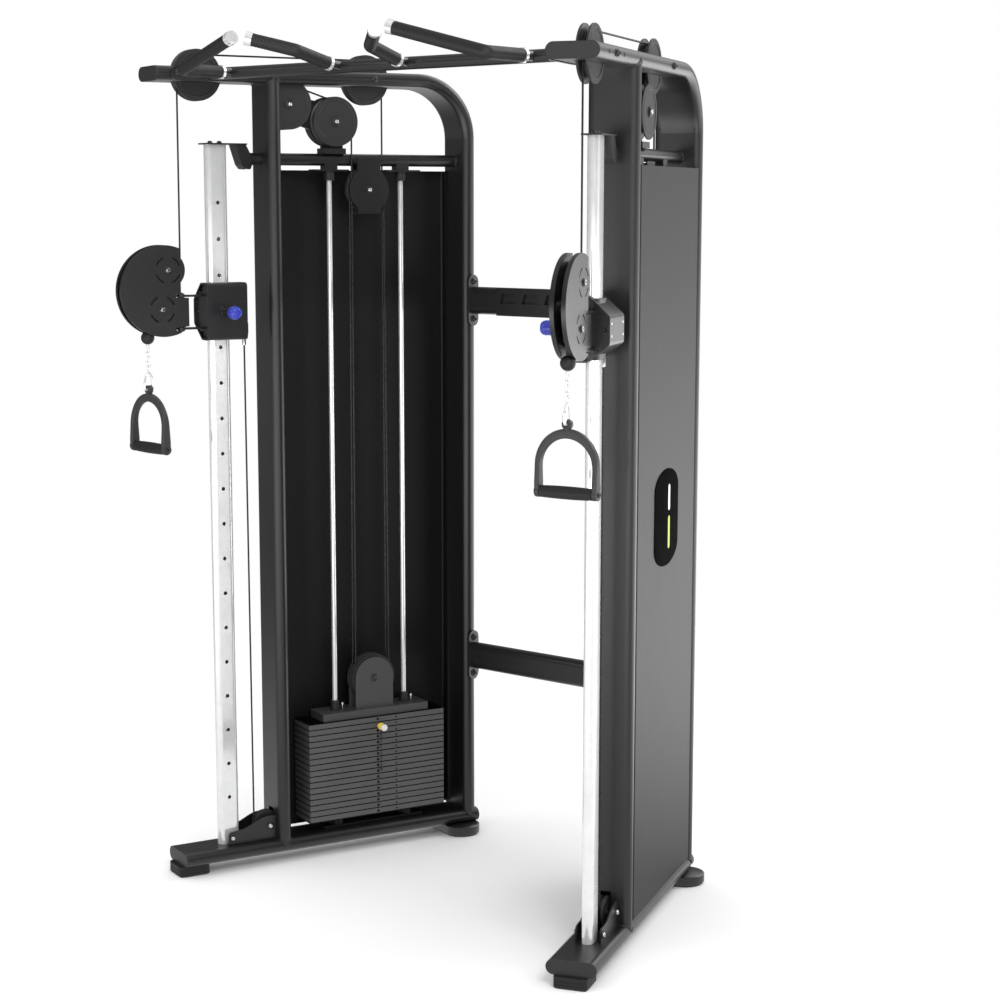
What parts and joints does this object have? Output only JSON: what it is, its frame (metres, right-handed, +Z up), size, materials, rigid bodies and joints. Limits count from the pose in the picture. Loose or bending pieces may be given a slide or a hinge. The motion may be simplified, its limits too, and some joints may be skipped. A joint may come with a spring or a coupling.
{
  "type": "cable crossover machine",
  "caption": "Cable crossover frame: two inclined towers with weight stacks, sliding swivel pulley carriages and hand grips, joined by crossbeams and a pull-up bar.",
  "frame": {"origin": "on the floor, on the plane of symmetry, level with the centres of the two slide columns", "axes": "+Z up, +X towards the right tower as seen from the front, -Y towards the user in front of the machine"},
  "size_m": [1.63, 1.0968, 2.3394],
  "materials": {
    "powder_black": "semi-gloss black powder coat",
    "black_plastic": "moulded black nylon, fine grain",
    "rubber": "black rubber, slight sheen",
    "chrome": "polished chrome plate",
    "shroud_black": "satin charcoal powder coat",
    "badge_black": "gloss black badge with an accent stripe",
    "zinc_steel": "bright zinc plated, socket heads",
    "iron_plate": "black enamelled iron plate",
    "cable_jacket": "black nylon jacket over wire",
    "blue_knob": "moulded blue knob",
    "grip_nylon": "dark grey moulded nylon",
    "yellow_pin": "yellow grip on a plated pin"
  },
  "bodies": {
    "frame": {"base_rails": "powder_black", "front_posts": "powder_black", "top_arches": "powder_black", "end_caps": "black_plastic", "feet": "rubber", "columns": "chrome", "column_brackets": "powder_black", "head_tubes": "powder_black", "pulley_brackets": "powder_black", "guide_rods": "chrome", "rod_collars": "rubber", "shrouds": "shroud_black", "badges": "badge_black", "crossbeams": "powder_black", "bolts": "zinc_steel", "pullup_bar": "powder_black", "grip_sleeves": "rubber", "grip_caps": "chrome", "weight_plates": "iron_plate", "cable_left": "cable_jacket", "cable_right": "cable_jacket"},
    "carriage_left": {"carriage_left": "powder_black"},
    "pop_pin_left": {"pop_pin_left": "blue_knob"},
    "swivel_left": {"swivel_head_left": "powder_black"},
    "cable_end_left": {"stop_ball_left": "rubber", "handle_chain_left": "chrome"},
    "handle_left": {"handle_frame_left": "grip_nylon"},
    "roller_left": {"handle_roller_left": "rubber"},
    "stack_lift_left": {"lift_head_left": "iron_plate", "lift_plates_left": "iron_plate"},
    "selector_left": {"selector_pin_left": "yellow_pin"},
    "swivel_pulley_upper_left": {"swivel_pulley_upper_left": "black_plastic"},
    "swivel_pulley_lower_left": {"swivel_pulley_lower_left": "black_plastic"},
    "front_pulley_left": {"front_pulley_left": "black_plastic"},
    "back_pulley_left": {"back_pulley_left": "black_plastic"},
    "link_pulley_a_left": {"link_pulley_a_left": "black_plastic"},
    "link_pulley_b_left": {"link_pulley_b_left": "black_plastic"},
    "hanging_pulley_left": {"hanging_pulley_left": "black_plastic"},
    "lift_pulleys_left": {"lift_pulleys_left": "black_plastic"},
    "base_pulley_left": {"base_pulley_left": "black_plastic"},
    "carriage_right": {"carriage_right": "powder_black"},
    "pop_pin_right": {"pop_pin_right": "blue_knob"},
    "swivel_right": {"swivel_head_right": "powder_black"},
    "cable_end_right": {"stop_ball_right": "rubber", "handle_chain_right": "chrome"},
    "handle_right": {"handle_frame_right": "grip_nylon"},
    "roller_right": {"handle_roller_right": "rubber"},
    "stack_lift_right": {"lift_head_right": "iron_plate", "lift_plates_right": "iron_plate"},
    "selector_right": {"selector_pin_right": "yellow_pin"},
    "swivel_pulley_upper_right": {"swivel_pulley_upper_right": "black_plastic"},
    "swivel_pulley_lower_right": {"swivel_pulley_lower_right": "black_plastic"},
    "front_pulley_right": {"front_pulley_right": "black_plastic"},
    "back_pulley_right": {"back_pulley_right": "black_plastic"},
    "link_pulley_a_right": {"link_pulley_a_right": "black_plastic"},
    "link_pulley_b_right": {"link_pulley_b_right": "black_plastic"},
    "hanging_pulley_right": {"hanging_pulley_right": "black_plastic"},
    "lift_pulleys_right": {"lift_pulleys_right": "black_plastic"},
    "base_pulley_right": {"base_pulley_right": "black_plastic"}
  },
  "joints": [
    {"name": "carriage_slide_left", "type": "slide", "parent": "frame", "child": "carriage_left", "axis": [0, 0, 1], "range_m": [-1.1, 0.3], "deforming": ["cable_left"]},
    {"name": "pop_pin_slide_left", "type": "slide", "parent": "carriage_left", "child": "pop_pin_left", "axis": [-0.9397, 0.342, 0], "range_m": [0, 0.0085]},
    {"name": "head_swivel_left", "type": "hinge", "parent": "carriage_left", "child": "swivel_left", "pos_m": [-0.69562, -0.10337, 1.61], "axis": [0, 0, 1], "range_deg": [-75, 75]},
    {"name": "cable_pull_left", "type": "slide", "parent": "swivel_left", "child": "cable_end_left", "axis": [0, 0, -1], "range_m": [0, 1.12]},
    {"name": "handle_swing_left", "type": "hinge", "parent": "cable_end_left", "child": "handle_left", "pos_m": [-0.72982, -0.19734, 1.399], "axis": [0.1392, 0.9903, 0], "range_deg": [-45, 45]},
    {"name": "roller_spin_left", "type": "hinge", "parent": "handle_left", "child": "roller_left", "pos_m": [-0.72982, -0.19734, 1.238], "axis": [-0.9903, 0.1392, 0], "continuous": true},
    {"name": "stack_slide_left", "type": "slide", "parent": "frame", "child": "stack_lift_left", "axis": [0, 0, 1], "range_m": [0, 0.28], "deforming": ["cable_left"]},
    {"name": "selector_slide_left", "type": "slide", "parent": "stack_lift_left", "child": "selector_left", "axis": [0.9397, -0.342, 0], "range_m": [0, 0.09]},
    {"name": "front_pulley_spin_left", "type": "hinge", "parent": "frame", "child": "front_pulley_left", "pos_m": [-0.67613, -0.0498, 2.2545], "axis": [0.9397, -0.342, 0], "range_deg": [-1, 1167.75]},
    {"name": "back_pulley_spin_left", "type": "hinge", "parent": "frame", "child": "back_pulley_left", "pos_m": [-0.49896, 0.43696, 2.2545], "axis": [0.9397, -0.342, 0], "range_deg": [-1, 1167.75]},
    {"name": "hanging_pulley_spin_left", "type": "hinge", "parent": "frame", "child": "hanging_pulley_left", "pos_m": [-0.49003, 0.43371, 1.946], "axis": [0.9397, -0.342, 0], "range_deg": [-1, 584.38]},
    {"name": "lift_pulleys_spin_left", "type": "hinge", "parent": "stack_lift_left", "child": "lift_pulleys_left", "pos_m": [-0.49896, 0.43696, 0.5146], "axis": [0.9397, -0.342, 0], "range_deg": [-1, 584.38]},
    {"name": "swivel_pulley_upper_spin_left", "type": "hinge", "parent": "swivel_left", "child": "swivel_pulley_upper_left", "pos_m": [-0.71067, -0.14471, 1.7265], "axis": [0.9397, -0.342, 0], "range_deg": [-1459.44, 1]},
    {"name": "swivel_pulley_lower_spin_left", "type": "hinge", "parent": "swivel_left", "child": "swivel_pulley_lower_left", "pos_m": [-0.71683, -0.16163, 1.619], "axis": [0.9397, -0.342, 0], "range_deg": [-1, 1689.72]},
    {"name": "link_pulley_a_spin_left", "type": "hinge", "parent": "frame", "child": "link_pulley_a_left", "pos_m": [-0.58515, 0.20015, 2.181], "axis": [0.9397, -0.342, 0], "range_deg": [-1146.92, 313.52]},
    {"name": "link_pulley_b_spin_left", "type": "hinge", "parent": "frame", "child": "link_pulley_b_left", "pos_m": [-0.53556, 0.33641, 2.136], "axis": [0.9397, -0.342, 0], "range_deg": [-1146.92, 313.52]},
    {"name": "base_pulley_spin_left", "type": "hinge", "parent": "frame", "child": "base_pulley_left", "pos_m": [-0.61764, 0.11088, 0.112], "axis": [0.9397, -0.342, 0], "range_deg": [-478.46, 1751.7]},
    {"name": "carriage_slide_right", "type": "slide", "parent": "frame", "child": "carriage_right", "axis": [0, 0, 1], "range_m": [-1.1, 0.3], "deforming": ["cable_right"]},
    {"name": "pop_pin_slide_right", "type": "slide", "parent": "carriage_right", "child": "pop_pin_right", "axis": [0.9397, 0.342, 0], "range_m": [0, 0.0085]},
    {"name": "head_swivel_right", "type": "hinge", "parent": "carriage_right", "child": "swivel_right", "pos_m": [0.69562, -0.10337, 1.61], "axis": [0, 0, 1], "range_deg": [-75, 75]},
    {"name": "cable_pull_right", "type": "slide", "parent": "swivel_right", "child": "cable_end_right", "axis": [0, 0, -1], "range_m": [0, 1.12]},
    {"name": "handle_swing_right", "type": "hinge", "parent": "cable_end_right", "child": "handle_right", "pos_m": [0.72982, -0.19734, 1.399], "axis": [0.1392, -0.9903, 0], "range_deg": [-45, 45]},
    {"name": "roller_spin_right", "type": "hinge", "parent": "handle_right", "child": "roller_right", "pos_m": [0.72982, -0.19734, 1.238], "axis": [0.9903, 0.1392, 0], "continuous": true},
    {"name": "stack_slide_right", "type": "slide", "parent": "frame", "child": "stack_lift_right", "axis": [0, 0, 1], "range_m": [0, 0.28], "deforming": ["cable_right"]},
    {"name": "selector_slide_right", "type": "slide", "parent": "stack_lift_right", "child": "selector_right", "axis": [-0.9397, -0.342, 0], "range_m": [0, 0.09]},
    {"name": "front_pulley_spin_right", "type": "hinge", "parent": "frame", "child": "front_pulley_right", "pos_m": [0.67613, -0.0498, 2.2545], "axis": [0.9397, 0.342, 0], "range_deg": [-1, 1167.75]},
    {"name": "back_pulley_spin_right", "type": "hinge", "parent": "frame", "child": "back_pulley_right", "pos_m": [0.49896, 0.43696, 2.2545], "axis": [0.9397, 0.342, 0], "range_deg": [-1, 1167.75]},
    {"name": "hanging_pulley_spin_right", "type": "hinge", "parent": "frame", "child": "hanging_pulley_right", "pos_m": [0.49003, 0.43371, 1.946], "axis": [0.9397, 0.342, 0], "range_deg": [-1, 584.38]},
    {"name": "lift_pulleys_spin_right", "type": "hinge", "parent": "stack_lift_right", "child": "lift_pulleys_right", "pos_m": [0.49896, 0.43696, 0.5146], "axis": [0.9397, 0.342, 0], "range_deg": [-1, 584.38]},
    {"name": "swivel_pulley_upper_spin_right", "type": "hinge", "parent": "swivel_right", "child": "swivel_pulley_upper_right", "pos_m": [0.71067, -0.14471, 1.7265], "axis": [0.9397, 0.342, 0], "range_deg": [-1459.44, 1]},
    {"name": "swivel_pulley_lower_spin_right", "type": "hinge", "parent": "swivel_right", "child": "swivel_pulley_lower_right", "pos_m": [0.71683, -0.16163, 1.619], "axis": [0.9397, 0.342, 0], "range_deg": [-1, 1689.72]},
    {"name": "link_pulley_a_spin_right", "type": "hinge", "parent": "frame", "child": "link_pulley_a_right", "pos_m": [0.58515, 0.20015, 2.181], "axis": [0.9397, 0.342, 0], "range_deg": [-1146.92, 313.52]},
    {"name": "link_pulley_b_spin_right", "type": "hinge", "parent": "frame", "child": "link_pulley_b_right", "pos_m": [0.53556, 0.33641, 2.136], "axis": [0.9397, 0.342, 0], "range_deg": [-1146.92, 313.52]},
    {"name": "base_pulley_spin_right", "type": "hinge", "parent": "frame", "child": "base_pulley_right", "pos_m": [0.61764, 0.11088, 0.112], "axis": [0.9397, 0.342, 0], "range_deg": [-478.46, 1751.7]}
  ],
  "couplings": [
    {"joint": "front_pulley_spin_left", "follows": "stack_slide_left", "rad_per_m": 72.727},
    {"joint": "back_pulley_spin_left", "follows": "stack_slide_left", "rad_per_m": 72.727},
    {"joint": "hanging_pulley_spin_left", "follows": "stack_slide_left", "rad_per_m": 36.364},
    {"joint": "lift_pulleys_spin_left", "follows": "stack_slide_left", "rad_per_m": 36.364},
    {"joint": "swivel_pulley_upper_spin_left", "follows": "stack_slide_left", "rad_per_m": -90.909},
    {"joint": "swivel_pulley_lower_spin_left", "follows": "stack_slide_left", "rad_per_m": 105.26},
    {"joint": "link_pulley_a_spin_left", "follows": "carriage_slide_left", "rad_per_m": 18.182},
    {"joint": "link_pulley_b_spin_left", "follows": "carriage_slide_left", "rad_per_m": 18.182},
    {"joint": "base_pulley_spin_left", "follows": "carriage_slide_left", "rad_per_m": -27.778},
    {"joint": "cable_pull_left", "follows": "stack_slide_left", "ratio": 4},
    {"joint": "front_pulley_spin_right", "follows": "stack_slide_right", "rad_per_m": 72.727},
    {"joint": "back_pulley_spin_right", "follows": "stack_slide_right", "rad_per_m": 72.727},
    {"joint": "hanging_pulley_spin_right", "follows": "stack_slide_right", "rad_per_m": 36.364},
    {"joint": "lift_pulleys_spin_right", "follows": "stack_slide_right", "rad_per_m": 36.364},
    {"joint": "swivel_pulley_upper_spin_right", "follows": "stack_slide_right", "rad_per_m": -90.909},
    {"joint": "swivel_pulley_lower_spin_right", "follows": "stack_slide_right", "rad_per_m": 105.26},
    {"joint": "link_pulley_a_spin_right", "follows": "carriage_slide_right", "rad_per_m": 18.182},
    {"joint": "link_pulley_b_spin_right", "follows": "carriage_slide_right", "rad_per_m": 18.182},
    {"joint": "base_pulley_spin_right", "follows": "carriage_slide_right", "rad_per_m": -27.778},
    {"joint": "cable_pull_right", "follows": "stack_slide_right", "ratio": 4}
  ]
}
